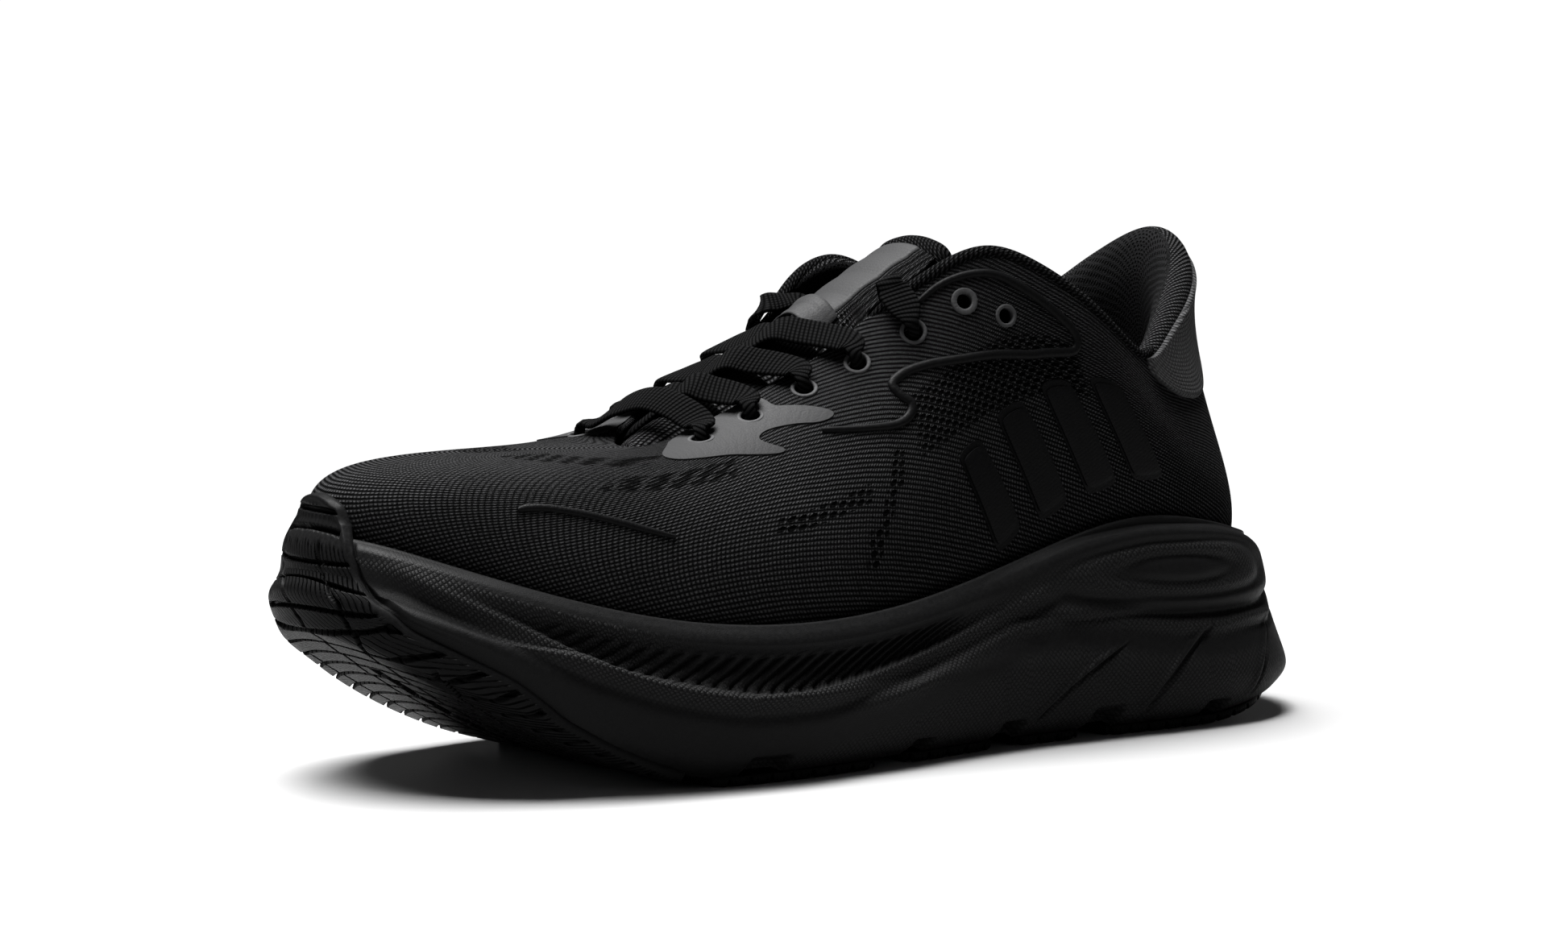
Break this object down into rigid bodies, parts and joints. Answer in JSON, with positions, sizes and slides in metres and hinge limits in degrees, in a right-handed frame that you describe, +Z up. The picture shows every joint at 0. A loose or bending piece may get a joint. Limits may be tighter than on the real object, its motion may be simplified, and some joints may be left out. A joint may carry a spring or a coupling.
{
  "type": "running shoe",
  "caption": "Low-cut lace-up running shoe with a knitted upper, thick curved foam midsole, rubber toe piece and tread pads.",
  "frame": {"origin": "centre of the bounding box in plan, at the height of the ground under the tread", "axes": "+X towards the heel, -X towards the toe, -Y the outer (lateral) side, +Y the inner (medial) side, +Z up"},
  "size_m": [0.3, 0.1138, 0.13],
  "materials": {
    "knit_black": "matt ribbed knit",
    "lining_black": "matt mesh",
    "patch_charcoal": "matt looped pile",
    "lace_black": "flat ribbed weave",
    "board_black": "matt non-woven",
    "padding_foam": "soft open foam",
    "foam_black": "matt moulded foam with a fine dotted texture",
    "rubber_black": "satin moulded rubber",
    "film_grey": "satin heat-bonded film",
    "plastic_black": "satin"
  },
  "bodies": {
    "rearfoot": {"aglet_lateral": "plastic_black", "aglet_medial": "plastic_black", "collar_foam_heel": "padding_foam", "collar_foam_lateral": "padding_foam", "collar_foam_medial": "padding_foam", "collar_lining": "lining_black", "eyestay_film_lateral": "film_grey", "eyestay_film_medial": "film_grey", "heel_counter": "plastic_black", "heel_patch": "patch_charcoal", "knit_flex_band": "knit_black", "knit_heel": "knit_black", "knit_quarter_lateral": "knit_black", "knit_quarter_medial": "knit_black", "lace_end_lateral": "lace_black", "lace_end_medial": "lace_black", "lace_keeper": "film_grey", "midsole_rear": "foam_black", "outsole_arch_lateral": "rubber_black", "outsole_ball_lateral": "rubber_black", "outsole_ball_medial": "rubber_black", "outsole_heel_lateral": "rubber_black", "outsole_heel_medial": "rubber_black", "outsole_mid_lateral": "rubber_black", "outsole_mid_medial": "rubber_black", "quarter_line_lateral": "film_grey", "quarter_line_medial": "film_grey", "shoelace": "lace_black", "side_emblem_lateral": "film_grey", "side_emblem_medial": "film_grey", "sockliner_rear": "lining_black", "strobel_board_rear": "board_black", "tongue_knit_lower": "knit_black", "tongue_padding_lower": "padding_foam"},
    "forefoot": {"midsole_front": "foam_black", "strobel_board_front": "board_black", "sockliner_front": "lining_black", "toe_outsole": "rubber_black", "knit_toe_box": "knit_black", "toe_puff": "plastic_black", "toe_line": "film_grey"},
    "tongue_top": {"tongue_knit_top": "knit_black", "tongue_padding_top": "padding_foam", "tongue_lining_top": "lining_black", "tongue_film_top": "film_grey", "tongue_binding": "knit_black"}
  },
  "joints": [
    {"name": "toe_flex", "type": "hinge", "parent": "rearfoot", "child": "forefoot", "pos_m": [-0.072, 0, 0.034], "axis": [0, 1, 0], "range_deg": [0, 20], "stiffness_Nm_per_rad": 8, "deforming": ["knit_flex_band"]},
    {"name": "tongue_tilt", "type": "hinge", "parent": "rearfoot", "child": "tongue_top", "pos_m": [0.008, 0.003, 0.1115], "axis": [0, -1, 0], "range_deg": [-10, 25]}
  ]
}
